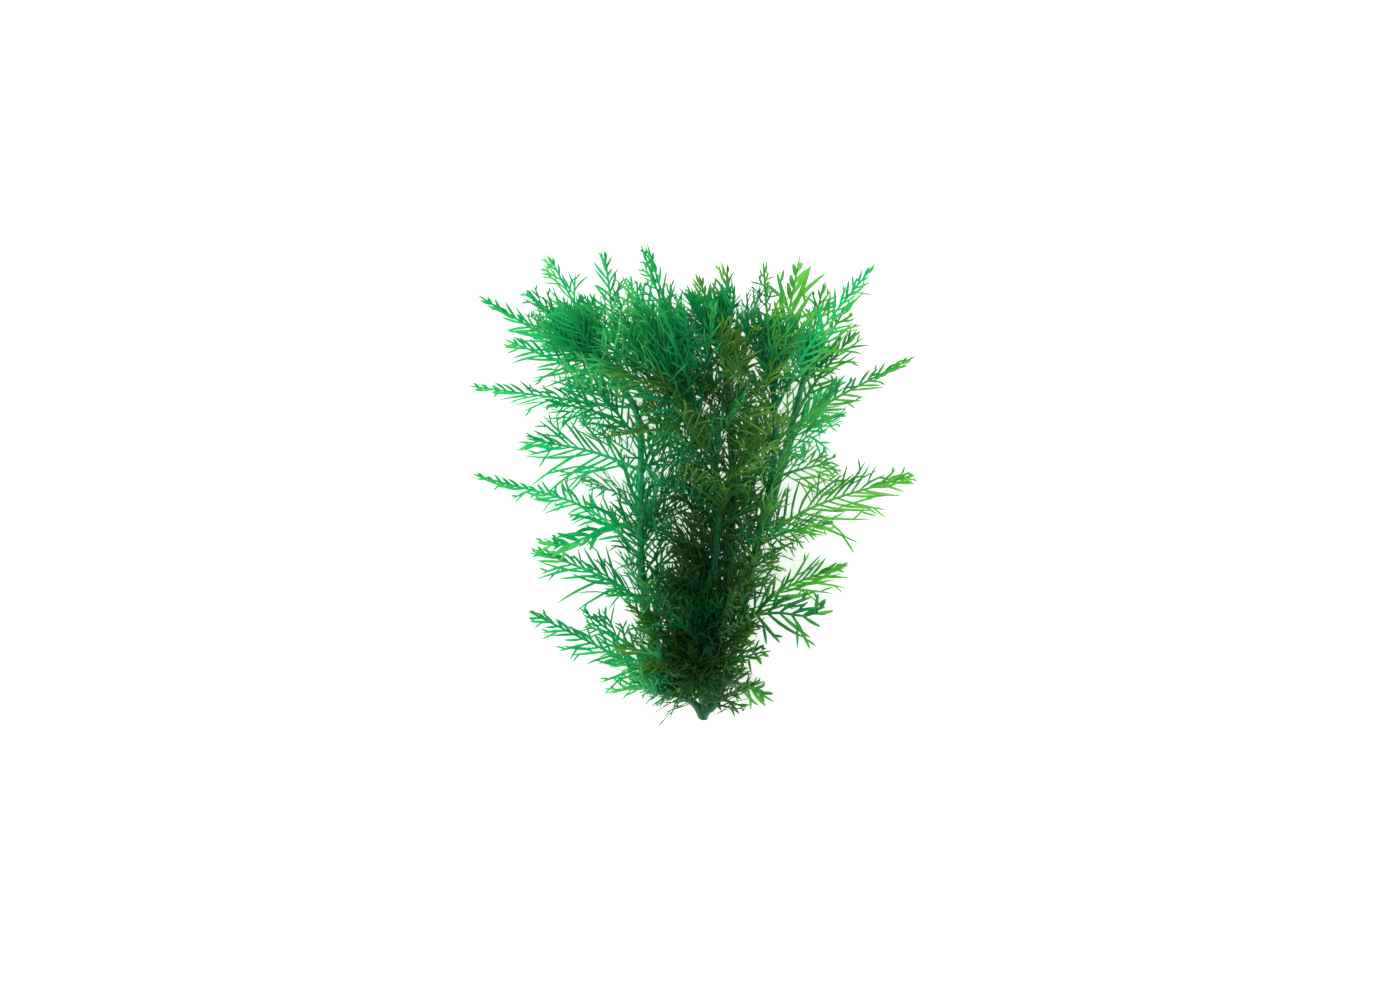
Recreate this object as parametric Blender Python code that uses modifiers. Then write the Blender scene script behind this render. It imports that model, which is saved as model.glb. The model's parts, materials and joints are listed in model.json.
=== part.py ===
"""A cut water wisteria, laid on its back: six stems, their growing tips and 48 finely cut leaves.

The plant lies along +Y, with the flat cut end of its main stem towards -Y and its growing tips towards +Y.
It rests on z = 0, on the undersides of its back leaves, which are pressed flat there. X is its width and Z
its depth. The origin is in the middle of its outline, on that surface.
"""

import math
import random

import bmesh
import bpy
from mathutils import Matrix, Vector
from mathutils.bvhtree import BVHTree

MM = 0.001

# Driving dimensions.
MAIN_STEM_RADIUS = 2.3 * MM
SHOOT_RADIUS = 1.8 * MM
STEM_TIP_RADIUS = 1.1 * MM
TIP_LENGTH = 31 * MM
TIP_RADIUS = 11 * MM
LEAF_THICKNESS = 0.6 * MM
LEAF_WIDTH = 36 * MM
STALK_HALF_WIDTH = 1.0 * MM
GAP = 0.3 * MM
ROUTE_DETAIL = 3

# How the leaves are cut and set.
LOBES = 6
LOBE_ANGLES = (math.radians(58), math.radians(34))
LOBE_ROOT = 0.056
STALK_SHARE = 0.11
END_LOBE_SHARE = 0.13
CLEAR_OF_LEAVES = 0.6 * MM
HIGHEST_TIP = 98 * MM
TRIES = 600
SEED = 7

FRONT = Vector((0, 0, 1))

# Each stem's route in millimetres, from low to high. A side shoot starts beside its parent, at a height (Y)
# and an angle round it (0 is the right side, 90 the front), so its route begins one step further on.
STEMS = {
    "main": (None, [(6, -120, 12), (10, -98, 20), (14, -78, 28), (18, -53, 35), (20, -28, 40), (21, -4, 43),
                    (20, 21, 45), (19, 41, 46), (17, 58, 47), (15, 72, 48)]),
    "left": (("main", -114, 175), [(-9, -101, 20), (-18, -83, 28), (-23, -58, 36), (-25, -33, 42),
                                   (-25, -5, 47), (-25, 21, 51), (-28, 37, 54), (-35, 48, 56),
                                   (-43, 58, 58), (-50, 68, 60)]),
    "centre": (("main", -108, 122), [(3, -93, 30), (6, -68, 44), (11, -43, 54), (14, -19, 61), (13, 1, 65),
                                     (10, 16, 68), (6, 28, 70), (0, 41, 71), (-6, 53, 72)]),
    "right": (("main", -112, 0), [(17, -101, 19), (23, -81, 26), (28, -56, 34), (33, -31, 42), (37, -11, 48),
                                  (40, 2, 51), (42, 27, 56), (40, 50, 60), (40, 62, 61)]),
    "far_right": (("right", -19, -40), [(45, 6, 38), (50, 26, 34), (55, 46, 32), (59, 61, 31)]),
    "low": (("main", -104, 68), [(10, -95, 36), (8, -83, 50), (6, -72, 58)]),
}

# Each stem's leaves: the height (Y) of the node, the leaf's tip, how much the leaf faces the front (0 to 1),
# how much it starts along the stem (0 to 1) and its width as a share of LEAF_WIDTH. Lengths in millimetres.
# A tip below 0 is that of a leaf which is pressed flat on the surface.
LEAVES = {
    "left": [
        (-106, (-83, -66, -8), 1.0, 0.2, 0.95),
        (-97, (-56, -63, 32), 0.8, 0.3, 0.8),
        (-59, (-79, -34, 16), 0.9, 0.2, 0.9),
        (-59, (14, -50, 8), 0.9, 0.3, 0.8),
        (-37, (-111, 4, -8), 1.0, 0.5, 0.75),
        (-26, (-66, -35, 66), 0.7, 0.7, 1.0),
        (-15, (-56, 2, 80), 0.4, 0.4, 0.8),
        (6, (-83, 22, 20), 1.0, 0.2, 1.2),
        (6, (-4, 46, 22), 0.9, 0.4, 0.9),
        (25, (-72, 40, 78), 0.6, 0.3, 0.9),
        (37, (-111, 48, 34), 0.6, 0.0, 0.7),
        (48, (-108, 95, -8), 1.0, 0.2, 0.9),
        (48, (-92, 70, 62), 0.8, 0.1, 0.9),
        (55, (-71, 113, 36), 0.9, 0.1, 0.8),
        (46, (-44, 117, 14), 0.9, 0.1, 0.9),
    ],
    "centre": [
        (-68, (-36, -52, 88), 0.3, 0.4, 0.8),
        (-43, (52, -22, 92), 0.4, 0.4, 0.8),
        (-19, (-30, 2, 97), 0.3, 0.5, 0.8),
        (10, (28, 42, 98), 0.3, 0.6, 0.9),
        (28, (-48, 62, 90), 0.5, 0.5, 0.9),
        (34, (12, 90, 84), 0.6, 0.3, 0.9),
        (36, (-16, 108, 96), 0.6, 0.1, 0.8),
        (40, (-23, 116, 54), 0.9, 0.1, 0.9),
    ],
    "main": [
        (-98, (-22, -86, -8), 1.0, 0.2, 0.7),
        (-53, (46, -36, 2), 1.0, 0.3, 0.9),
        (-12, (-34, 56, -8), 1.0, 0.3, 0.9),
        (21, (24, 88, -8), 1.0, 0.5, 0.9),
        (50, (4, 105, 14), 0.9, 0.5, 0.8),
        (62, (17, 113, 32), 0.9, 0.5, 0.7),
    ],
    "right": [
        (46, (54, 112, 42), 1.0, 0.1, 1.1),
        (-100, (42, -112, -3), 0.9, 0.1, 0.6),
        (-90, (40, -84, 46), 0.6, 0.3, 0.6),
        (-73, (80, -41, -8), 1.0, 0.5, 1.0),
        (-66, (64, -68, 34), 0.9, 0.2, 0.9),
        (-31, (109, 3, 44), 0.8, 0.5, 0.9),
        (-31, (70, -20, 78), 0.6, 0.3, 0.8),
        (2, (71, 10, 24), 1.0, 0.1, 1.0),
        (10, (76, 34, 86), 0.5, 0.2, 0.8),
        (22, (111, 62, 56), 0.7, 0.2, 0.7),
        (38, (86, 105, 66), 0.9, 0.4, 0.9),
        (50, (32, 106, 88), 0.6, 0.5, 0.8),
    ],
    "far_right": [
        (42, (68, 102, -8), 1.0, 0.0, 0.8),
        (20, (78, 54, -8), 1.0, 0.3, 0.9),
        (38, (84, 77, 12), 1.0, 0.4, 0.9),
        (50, (76, 90, 40), 0.8, 0.4, 0.8),
    ],
    "low": [
        (-90, (-26, -92, 52), 0.4, 0.3, 0.7),
        (-84, (38, -62, 72), 0.4, 0.5, 0.7),
        (-80, (22, -52, 96), 0.3, 0.1, 0.7),
    ],
}


def clear_scene():
    for obj in list(bpy.data.objects):
        bpy.data.objects.remove(obj)


def make_material(name, colour, roughness):
    material = bpy.data.materials.new(name)
    material.use_nodes = True
    shader = material.node_tree.nodes["Principled BSDF"]
    shader.inputs["Base Color"].default_value = (*colour, 1)
    shader.inputs["Roughness"].default_value = roughness
    shader.inputs["Metallic"].default_value = 0
    return material


def smooth_route(points):
    """Points on a smooth curve through the given ones, ROUTE_DETAIL of them for each step."""
    ends = [2 * points[0] - points[1], *points, 2 * points[-1] - points[-2]]
    route = []
    for before, start, end, after in zip(ends, ends[1:], ends[2:], ends[3:]):
        for i in range(ROUTE_DETAIL):
            t = i / ROUTE_DETAIL
            route.append(
                0.5 * (2 * start + (end - before) * t + (2 * before - 5 * start + 4 * end - after) * t * t
                       + (3 * start - before - 3 * end + after) * t ** 3)
            )
    return [*route, points[-1]]


class Stem:
    """A stem's route, with its thickness at each height."""

    def __init__(self, points, radius):
        self.route = smooth_route(points)
        self.radius = radius

    def place(self, height):
        """The point, direction and radius where the stem passes a height."""
        steps = len(self.route) - 1
        step = next(i for i in range(steps) if height <= self.route[i + 1].y or i == steps - 1)
        low, high = self.route[step:step + 2]
        share = (height - low.y) / (high.y - low.y)
        return low.lerp(high, share), (high - low).normalized(), self.radius_at((step + share) / steps)

    def radius_at(self, along):
        return self.radius + (STEM_TIP_RADIUS - self.radius) * along ** 1.5


def round_the_stem(direction, degrees):
    """The unit vector square to a stem at an angle round it: 0 is the right side, 90 the front."""
    right = direction.cross(FRONT).normalized()
    front = right.cross(direction)
    angle = math.radians(degrees)
    return right * math.cos(angle) + front * math.sin(angle)


def trace_stems():
    stems = {}
    for name, (start, route) in STEMS.items():
        points = [Vector(point) * MM for point in route]
        radius = MAIN_STEM_RADIUS
        if start:
            parent, height, degrees = start
            centre, direction, parent_radius = stems[parent].place(height * MM)
            radius = SHOOT_RADIUS
            beside = parent_radius + radius + GAP
            points.insert(0, centre + round_the_stem(direction, degrees) * beside)
        stems[name] = Stem(points, radius)
    return stems


def make_stem(name, stem, material, collection):
    curve = bpy.data.curves.new(name, "CURVE")
    curve.dimensions = "3D"
    curve.bevel_depth = stem.radius
    curve.bevel_resolution = 2
    curve.use_fill_caps = True
    curve.materials.append(material)
    spline = curve.splines.new("POLY")
    points = [*stem.route[:-1:2], stem.route[-1]]
    spline.points.add(len(points) - 1)
    for i, (place, point) in enumerate(zip(spline.points, points)):
        place.co = (*point, 1)
        place.radius = stem.radius_at(i / (len(points) - 1)) / stem.radius
    obj = bpy.data.objects.new(name, curve)
    collection.objects.link(obj)
    return obj


def make_growing_tip(name, stem, material, collection):
    """The bud and young leaves at a stem's end, as one drop that is fullest below its middle."""
    end = stem.route[-1]
    direction = (end - stem.route[-2]).normalized()
    rest = direction.to_track_quat("Z", "Y").to_matrix().to_4x4()
    drop = bmesh.new()
    bmesh.ops.create_uvsphere(drop, u_segments=8, v_segments=6, radius=1)
    for vertex in drop.verts:
        along = (vertex.co.z + 1) / 2
        fullness = TIP_RADIUS * (1.12 - 0.45 * along)
        vertex.co = Vector((vertex.co.x * fullness, vertex.co.y * fullness, along * TIP_LENGTH))
    bmesh.ops.transform(drop, matrix=Matrix.Translation(end + direction * GAP * 1.5) @ rest, verts=drop.verts)
    return link_mesh(name, drop, material, collection)


def link_mesh(name, shape, material, collection):
    mesh = bpy.data.meshes.new(name)
    shape.to_mesh(mesh)
    shape.free()
    mesh.materials.append(material)
    obj = bpy.data.objects.new(name, mesh)
    collection.objects.link(obj)
    return obj


def lobe_reach(along):
    """How far a lobe reaches sideways, as a share of the widest, by its place along the leaf."""
    return math.sin(math.pi * (0.14 + 0.74 * along ** 0.85))


def flat_leaf(length, width):
    """A leaf cut flat, from its stalk at the origin along +Y: a midrib strip with a pointed lobe drawn out of
    each edge at every other step. The last step is the end lobe."""
    pitch = (1 - STALK_SHARE - END_LOBE_SHARE) / LOBES
    rows = [0]
    for i in range(LOBES):
        rows += [STALK_SHARE + i * pitch, STALK_SHARE + i * pitch + LOBE_ROOT]
    rows.append(1)
    leaf = bmesh.new()
    bmesh.ops.create_grid(leaf, x_segments=1, y_segments=len(rows) - 1, size=0.5)
    for vertex in leaf.verts:
        along = rows[round((vertex.co.y + 0.5) * (len(rows) - 1))]
        half = STALK_HALF_WIDTH * (1 - 0.65 * along)
        vertex.co = Vector((math.copysign(half, vertex.co.x), along * length, 0))
    for edge in [edge for edge in leaf.edges if bears_lobe(edge, length)]:
        draw_lobe(leaf, edge, length, width)
    return leaf


def bears_lobe(edge, length):
    low, high = sorted(vertex.co.y / length for vertex in edge.verts)
    return edge.is_boundary and abs(high - low - LOBE_ROOT) < 0.002


def draw_lobe(leaf, edge, length, width):
    middle = (edge.verts[0].co + edge.verts[1].co) / 2
    along = middle.y / length
    angle = LOBE_ANGLES[0] + (LOBE_ANGLES[1] - LOBE_ANGLES[0]) * along
    reach = width / 2 * lobe_reach(along) / math.sin(LOBE_ANGLES[0])
    point = middle + Vector((math.copysign(math.sin(angle), middle.x), math.cos(angle), 0)) * reach
    made = bmesh.ops.extrude_edge_only(leaf, edges=[edge])["geom"]
    corners = [item for item in made if isinstance(item, bmesh.types.BMVert)]
    bmesh.ops.pointmerge(leaf, verts=corners, merge_co=point)


def leaf_line(start, start_direction, tip, launch):
    """A function that gives the point and direction along a leaf's midrib, from 0 to 1 and a little beyond.
    It leaves along the stem by launch, and meets the surface that the plant lies on without a kink."""
    chord = tip - start
    length = chord.length
    out = chord.normalized()
    first = out.lerp(start_direction, launch).normalized()
    last = (out - start_direction * 0.25 * launch).normalized()
    if tip.z < 5 * MM:
        last = Vector((last.x, last.y, 0)).normalized()
    second = start + first * length * 0.36
    third = tip - last * length * 0.36

    def at(t):
        inside = min(max(t, 0), 1)
        left = 1 - inside
        point = (start * left ** 3 + second * 3 * left * left * inside
                 + third * 3 * left * inside * inside + tip * inside ** 3)
        direction = ((second - start) * left * left + (third - second) * 2 * left * inside
                     + (tip - third) * inside * inside).normalized()
        return point + direction * length * (t - inside), direction

    return at


def bend_leaf(leaf, line, length, face, turn, curl):
    """Bends a flat leaf along its line, with its upper side towards face, turned about the line, and with its
    lobes curled down. What would reach below the surface is pressed flat on it."""
    for vertex in leaf.verts:
        across, along = vertex.co.x, vertex.co.y / length
        point, direction = line(along)
        side = direction.cross(face).normalized()
        upper = side.cross(direction)
        side, upper = (side * math.cos(turn) + upper * math.sin(turn),
                       upper * math.cos(turn) - side * math.sin(turn))
        place = point + side * across - upper * curl * across * across
        place.z = max(place.z, LEAF_THICKNESS / 2)
        vertex.co = place


def slab_tree(leaf, clearance):
    """The leaf as a closed slab that is thicker by the clearance on each side, for finding what it meets."""
    leaf.normal_update()
    slab = leaf.copy()
    half = LEAF_THICKNESS / 2 + clearance
    low = [vertex.co - vertex.normal * half for vertex in slab.verts]
    high = [vertex.co + vertex.normal * half for vertex in slab.verts]
    slab.verts.index_update()
    count = len(low)
    faces = [[vertex.index for vertex in face.verts] for face in slab.faces]
    faces += [[count + index for index in reversed(face)] for face in faces]
    for edge in slab.edges:
        if edge.is_boundary:
            a, b = (vertex.index for vertex in edge.verts)
            faces.append([a, b, count + b, count + a])
    slab.free()
    return BVHTree.FromPolygons(low + high, faces)


def tree_of(obj):
    graph = bpy.context.evaluated_depsgraph_get()
    mesh = bpy.data.meshes.new_from_object(obj.evaluated_get(graph))
    tree = BVHTree.FromPolygons([v.co for v in mesh.vertices], [list(p.vertices) for p in mesh.polygons])
    bpy.data.meshes.remove(mesh)
    return tree


def fit_leaf(stem, wanted, placed, luck):
    """A bent leaf at its node that meets nothing placed before. The first try is as wanted, and each later
    one may stray a little further. A leaf that is pressed on the surface stays there."""
    height, tip, facing, launch, width_share = wanted
    node, stem_direction, radius = stem.place(height * MM)
    face = (stem_direction * (1 - facing) + FRONT * facing).normalized()
    strays = Vector((9, 9, 26 if tip[2] > 0 else 0)) * MM
    for attempt in range(TRIES):
        stray = attempt / TRIES
        end = Vector([place * MM + luck.uniform(-1, 1) * far * stray for place, far in zip(tip, strays)])
        end.z = min(end.z, HIGHEST_TIP)
        out = (end - node) - stem_direction * (end - node).dot(stem_direction)
        start = node + out.normalized() * (radius + 1.2 * MM)
        length = (end - start).length
        leaf = flat_leaf(length, LEAF_WIDTH * width_share * (1 - 0.3 * stray * luck.random()))
        line = leaf_line(start, stem_direction, end, launch + luck.uniform(-0.4, 0.4) * stray)
        bend_leaf(leaf, line, length, face, luck.uniform(-1.2, 1.2) * stray, luck.uniform(2, 9))
        slab = slab_tree(leaf, CLEAR_OF_LEAVES)
        if not any(slab.overlap(other) for other in placed):
            return leaf
        leaf.free()
    raise RuntimeError(f"no room for the leaf that ends at {tip}")


def centre_on_origin(objects):
    """Moves the plant over the surface until the middle of its outline is at the origin."""
    graph = bpy.context.evaluated_depsgraph_get()
    places = []
    for obj in objects:
        evaluated = obj.evaluated_get(graph)
        places += [vertex.co.copy() for vertex in evaluated.to_mesh().vertices]
        evaluated.to_mesh_clear()
    for axis in (0, 1):
        spread = [place[axis] for place in places]
        for obj in objects:
            obj.location[axis] = -(min(spread) + max(spread)) / 2


def main():
    clear_scene()
    collection = bpy.data.collections.new("Water wisteria")
    bpy.context.scene.collection.children.link(collection)
    stem_green = make_material("stem green", (0.03, 0.30, 0.10), 0.45)
    young_green = make_material("young leaf green", (0.05, 0.40, 0.12), 0.45)
    blue_green = make_material("blue-green leaf", (0.01, 0.28, 0.09), 0.5)
    yellow_green = make_material("yellow-green leaf", (0.08, 0.40, 0.05), 0.5)
    dark_green = make_material("dark leaf", (0.02, 0.12, 0.03), 0.5)
    leaf_greens = {"left": blue_green, "centre": blue_green, "main": dark_green,
                   "right": yellow_green, "far_right": yellow_green, "low": dark_green}
    stems = trace_stems()
    placed = []
    for name, stem in stems.items():
        title = "main_stem" if name == "main" else f"{name}_shoot"
        placed.append(tree_of(make_stem(title, stem, stem_green, collection)))
        placed.append(tree_of(make_growing_tip(f"{name}_growing_tip", stem, young_green, collection)))
    luck = random.Random(SEED)
    for name, leaves in LEAVES.items():
        for number, wanted in enumerate(leaves, 1):
            leaf = fit_leaf(stems[name], wanted, placed, luck)
            placed.append(slab_tree(leaf, 0))
            obj = link_mesh(f"{name}_leaf_{number}", leaf, leaf_greens[name], collection)
            body = obj.modifiers.new("Leaf thickness", "SOLIDIFY")
            body.thickness = LEAF_THICKNESS
            body.offset = 0
    centre_on_origin(list(collection.objects))


main()
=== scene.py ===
"""The looks of a cut water wisteria, an aquarium plant, laid on its back: its stems, leaves, growing tips
and small leaves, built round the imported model, then the floor, the light and the camera."""

import json
import math
import random
from typing import NamedTuple

import bpy
import numpy as np
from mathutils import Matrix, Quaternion, Vector

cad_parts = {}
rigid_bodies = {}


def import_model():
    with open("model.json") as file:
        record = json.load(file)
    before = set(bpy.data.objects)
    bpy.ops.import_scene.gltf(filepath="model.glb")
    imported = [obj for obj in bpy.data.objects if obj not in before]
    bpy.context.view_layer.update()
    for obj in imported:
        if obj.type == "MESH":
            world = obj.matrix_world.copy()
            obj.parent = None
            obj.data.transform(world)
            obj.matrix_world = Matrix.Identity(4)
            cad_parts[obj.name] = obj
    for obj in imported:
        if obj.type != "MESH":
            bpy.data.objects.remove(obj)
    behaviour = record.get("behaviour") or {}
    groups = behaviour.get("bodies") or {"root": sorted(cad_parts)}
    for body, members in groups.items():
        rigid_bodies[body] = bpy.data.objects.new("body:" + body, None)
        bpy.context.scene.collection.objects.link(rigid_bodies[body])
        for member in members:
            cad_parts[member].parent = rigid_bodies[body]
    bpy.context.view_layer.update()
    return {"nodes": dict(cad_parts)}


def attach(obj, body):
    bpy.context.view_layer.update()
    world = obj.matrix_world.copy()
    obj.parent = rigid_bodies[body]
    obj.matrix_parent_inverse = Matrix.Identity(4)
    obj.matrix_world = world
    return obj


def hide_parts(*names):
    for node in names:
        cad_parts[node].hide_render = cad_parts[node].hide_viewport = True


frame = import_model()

# The stems. Six soft green stems, 4 to 5 mm thick at the foot and 2 mm at the top, in one plant. The main
# stem is cut off flat, and each side shoot grows out of a node of its parent with a thick collar. Each stem
# is round with four blunt ridges, and it swells at every node that carries leaves.
MM = 0.001
FRONT = np.array([0, 0, 1.0])
SHOOTS = {"main_stem": None, "left_shoot": "main_stem", "centre_shoot": "main_stem",
          "right_shoot": "main_stem", "far_right_shoot": "right_shoot", "low_shoot": "main_stem"}
# How much each stem's green is darkened as a whole, from 0 to 1: painted shade on the stems that stand in the
# clump.
STEM_SHADES = {"main_stem": 1.0, "left_shoot": 0.0, "centre_shoot": 1.0, "right_shoot": 0.9,
              "far_right_shoot": 0.5, "low_shoot": 0.8}

# A modelled stem's corners stand in rings, more than this gap apart along Y, and a shoot's line starts some
# steps down its parent, in the flesh. The four corners of a leaf nearest to its stem are its root.
RING_GAP = 1.3 * MM
STEPS_DOWN_THE_PARENT = 5
WIDTH_IN_THE_PARENT = 0.9
COLLAR_STEP = 4
ROOT_CORNERS = 4

CURVE_STEPS = 10
STEM_STEP = 1.0 * MM
STEM_SIDES = 20
RIDGES = 4
RIDGE_DEPTH = 0.05
NODE_SWELL = 0.34
NODE_LENGTH = 1.7 * MM
COLLAR_SWELL = 0.45
COLLAR_LENGTH = 5 * MM
ROUNDED_END = 3 * MM
ROUNDING = 0.98
SHARP_ANGLE = math.radians(55)


def unit(vectors):
    return vectors / np.linalg.norm(vectors, axis=-1, keepdims=True)


def right_and_front(directions):
    """The directions square to a line, to its right and to the front."""
    right = unit(np.cross(directions, FRONT))
    return right, np.cross(right, directions)


def corners(node):
    """The corners of a modelled solid, each of them once."""
    places = np.array([vertex.co for vertex in frame["nodes"][node].data.vertices])
    return np.unique(np.round(places, 6), axis=0)


def smooth_line(points, spacing):
    """Evenly spaced points on a smooth curve through the given ones. The first three columns are the
    place."""
    ends = np.vstack([2 * points[0] - points[1], points, 2 * points[-1] - points[-2]])
    fine = []
    for before, start, end, after in zip(ends, ends[1:], ends[2:], ends[3:]):
        for t in np.linspace(0, 1, CURVE_STEPS, endpoint=False):
            fine.append(0.5 * (2 * start + (end - before) * t
                               + (2 * before - 5 * start + 4 * end - after) * t * t
                               + (3 * start - before - 3 * end + after) * t ** 3))
    return evenly(np.array([*fine, points[-1]]), spacing)


def evenly(points, spacing):
    """The same line with its points at even spacing."""
    run = run_along(points)
    marks = np.linspace(0, run[-1], max(4, round(run[-1] / spacing)) + 1)
    return np.stack([np.interp(marks, run, column) for column in points.T], axis=1)


def run_along(points):
    """The length of a line up to each of its points."""
    steps = np.linalg.norm(np.diff(points[:, :3], axis=0), axis=1)
    return np.concatenate([[0], np.cumsum(steps)])


class Stem:
    """A stem's middle line from low to high, with its directions, radii and lengths."""

    def __init__(self, node, parent):
        points = corners(node)
        points = points[np.argsort(points[:, 1])]
        rings = np.split(points, np.flatnonzero(np.diff(points[:, 1]) > RING_GAP) + 1)
        line = []
        for ring in rings:
            centre = ring.mean(axis=0)
            line.append([*centre, np.linalg.norm(ring - centre, axis=1).mean()])
        self.parent = parent
        if parent:
            beside = parent.nearest(np.array(line[0][:3]))
            start = parent.places[max(beside - STEPS_DOWN_THE_PARENT, 0)]
            line.insert(0, [*start, line[0][3] * WIDTH_IN_THE_PARENT])
        line = smooth_line(np.array(line), STEM_STEP)
        self.places = line[:, :3]
        self.radii = line[:, 3]
        self.run = run_along(line)
        self.directions = unit(np.gradient(self.places, axis=0))
        self.nodes = []

    def nearest(self, place):
        return int(np.argmin(np.linalg.norm(self.places - place, axis=1)))

    def outward(self, place):
        """The nearest step of the stem, and the direction square to the stem from there to the place."""
        step = self.nearest(place)
        across = place - self.places[step]
        across = across - self.directions[step] * (across @ self.directions[step])
        return step, unit(across)


stems = {}
for name, parent in SHOOTS.items():
    stems[name] = Stem(name, stems.get(parent))
    if parent:
        stems[parent].nodes.append(stems[parent].nearest(stems[name].places[COLLAR_STEP]))

leaf_roots = {}
for node in sorted(frame["nodes"]):
    if "_leaf_" in node:
        stem_name = node.split("_leaf_")[0]
        stem_name = "main_stem" if stem_name == "main" else f"{stem_name}_shoot"
        stem = stems[stem_name]
        points = corners(node)
        away = [np.linalg.norm(stem.places - point, axis=1).min() for point in points]
        root = points[np.argsort(away)[:ROOT_CORNERS]].mean(axis=0)
        leaf_roots[node] = (stem_name, root)
        stem.nodes.append(stem.nearest(root))


class Mesh:
    """Points, faces and surface measures that are collected for one piece."""

    def __init__(self):
        self.points = []
        self.tris = []
        self.quads = []
        self.measures = {}
        self.count = 0

    def add(self, points, tris, quads, **measures):
        """Adds faces and their points. A measure is one number, or one for each point."""
        self.points.append(points)
        self.tris.append(np.reshape(np.array(tris, int), (-1, 3)) + self.count)
        self.quads.append(np.reshape(np.array(quads, int), (-1, 4)) + self.count)
        for name, values in measures.items():
            self.measures.setdefault(name, []).append(np.broadcast_to(values, len(points)))
        self.count += len(points)

    def make(self, name, material, slot, *replaced):
        """The finished piece, which rides on the plant and stands for the replaced nodes."""
        mesh = bpy.data.meshes.new(name)
        points = np.concatenate(self.points)
        tris = np.concatenate(self.tris)
        quads = np.concatenate(self.quads)
        mesh.vertices.add(len(points))
        mesh.vertices.foreach_set("co", points.astype(np.float32).ravel())
        loops = np.concatenate([tris.ravel(), quads.ravel()])
        mesh.loops.add(len(loops))
        mesh.loops.foreach_set("vertex_index", loops.astype(np.int32))
        starts = np.concatenate([np.arange(len(tris)) * 3, len(tris) * 3 + np.arange(len(quads)) * 4])
        mesh.polygons.add(len(starts))
        mesh.polygons.foreach_set("loop_start", starts.astype(np.int32))
        mesh.update(calc_edges=True)
        mesh.validate()
        mesh.set_sharp_from_angle(angle=SHARP_ANGLE)
        for measure, values in self.measures.items():
            attribute = mesh.attributes.new(measure, "FLOAT", "POINT")
            attribute.data.foreach_set("value", np.concatenate(values).astype(np.float32))
        mesh.materials.append(material)
        piece = bpy.data.objects.new(name, mesh)
        bpy.context.scene.collection.objects.link(piece)
        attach(piece, "root")
        if replaced:
            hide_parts(*replaced)


# Little light gets into the clump, and that shade is painted into the green of its stems and leaves: how dim
# its middle is at some shares of the plant's height, where that middle is at the foot and how far to the
# right of that at the top, and how wide the dim part is at the foot and how much wider at the top.
PLANT_FOOT = -0.118
PLANT_HEIGHT = 0.236
CORE_SHARES = [0, 0.15, 0.34, 0.48, 0.58, 0.70, 0.80, 1]
CORE_DIMNESS = [0.90, 1.0, 1.0, 0.68, 0.50, 0.68, 0.40, 0]
CORE_MIDDLE = 4 * MM
CORE_LEAN = 10 * MM
CORE_HALF_WIDTH = 24 * MM
CORE_WIDENING = 30 * MM


def clump_shade_at(points):
    """How much painted shade a place gets for its depth in the clump, from 0 outside to 1 in the middle of
    its lower half.
    """
    height = np.clip((points[:, 1] - PLANT_FOOT) / PLANT_HEIGHT, 0, 1)
    across = (points[:, 0] - CORE_MIDDLE - CORE_LEAN * height) / (CORE_HALF_WIDTH + CORE_WIDENING * height)
    return np.interp(height, CORE_SHARES, CORE_DIMNESS) * np.exp(-across ** 2)


def stem_mesh(stem, tone):
    """A ridged tube round the stem's line, swollen at its nodes, cut flat below and rounded off above."""
    radii = stem.radii.copy()
    near_node = np.zeros(len(radii))
    for step in stem.nodes:
        bump = np.exp(-((stem.run - stem.run[step]) / NODE_LENGTH) ** 2)
        near_node = np.maximum(near_node, bump)
    radii = radii * (1 + NODE_SWELL * near_node)
    if stem.parent:
        radii = radii * (1 + COLLAR_SWELL * np.exp(-(stem.run / COLLAR_LENGTH) ** 2))
    closing = np.clip((stem.run[-1] - stem.run) / ROUNDED_END, 0, 1)
    radii = radii * np.sqrt(1 - (1 - closing) ** 2 * ROUNDING)
    right, front = right_and_front(stem.directions)
    turns = np.linspace(0, 2 * math.pi, STEM_SIDES, endpoint=False)
    ridged = 1 + RIDGE_DEPTH * np.cos(RIDGES * turns)
    around = right[:, None] * np.cos(turns)[None, :, None] + front[:, None] * np.sin(turns)[None, :, None]
    points = stem.places[:, None] + around * (radii[:, None] * ridged[None, :])[:, :, None]
    rows, sides = points.shape[:2]
    points = points.reshape(-1, 3)
    quads = []
    for row in range(rows - 1):
        for side in range(sides):
            after = (side + 1) % sides
            quads.append((row * sides + after, row * sides + side,
                          (row + 1) * sides + side, (row + 1) * sides + after))
    foot, top = len(points), len(points) + 1
    tris = []
    for side in range(sides):
        after = (side + 1) % sides
        tris.append((foot, side, after))
        tris.append((top, (rows - 1) * sides + after, (rows - 1) * sides + side))
    points = np.vstack([points, stem.places[0], stem.places[-1]])
    mesh = Mesh()
    along = np.append(np.repeat(stem.run, sides), [0, stem.run[-1]])
    mesh.add(points, tris, quads, core=clump_shade_at(points), run=along, tone=tone,
             turn=np.append(np.tile(turns, rows), [0, 0]),
             node=np.append(np.repeat(near_node, sides), [0, 0]))
    return mesh


def join_up(tree, from_socket, to_socket):
    tree.links.new(from_socket, to_socket)


def add_node(tree, kind, **settings):
    """A shader node with its settings made; an input is set by its name, with spaces as underscores."""
    made = tree.nodes.new(kind)
    for name, value in settings.items():
        if hasattr(made, name):
            setattr(made, name, value)
        else:
            made.inputs[name.replace("_", " ")].default_value = value
    return made


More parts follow.
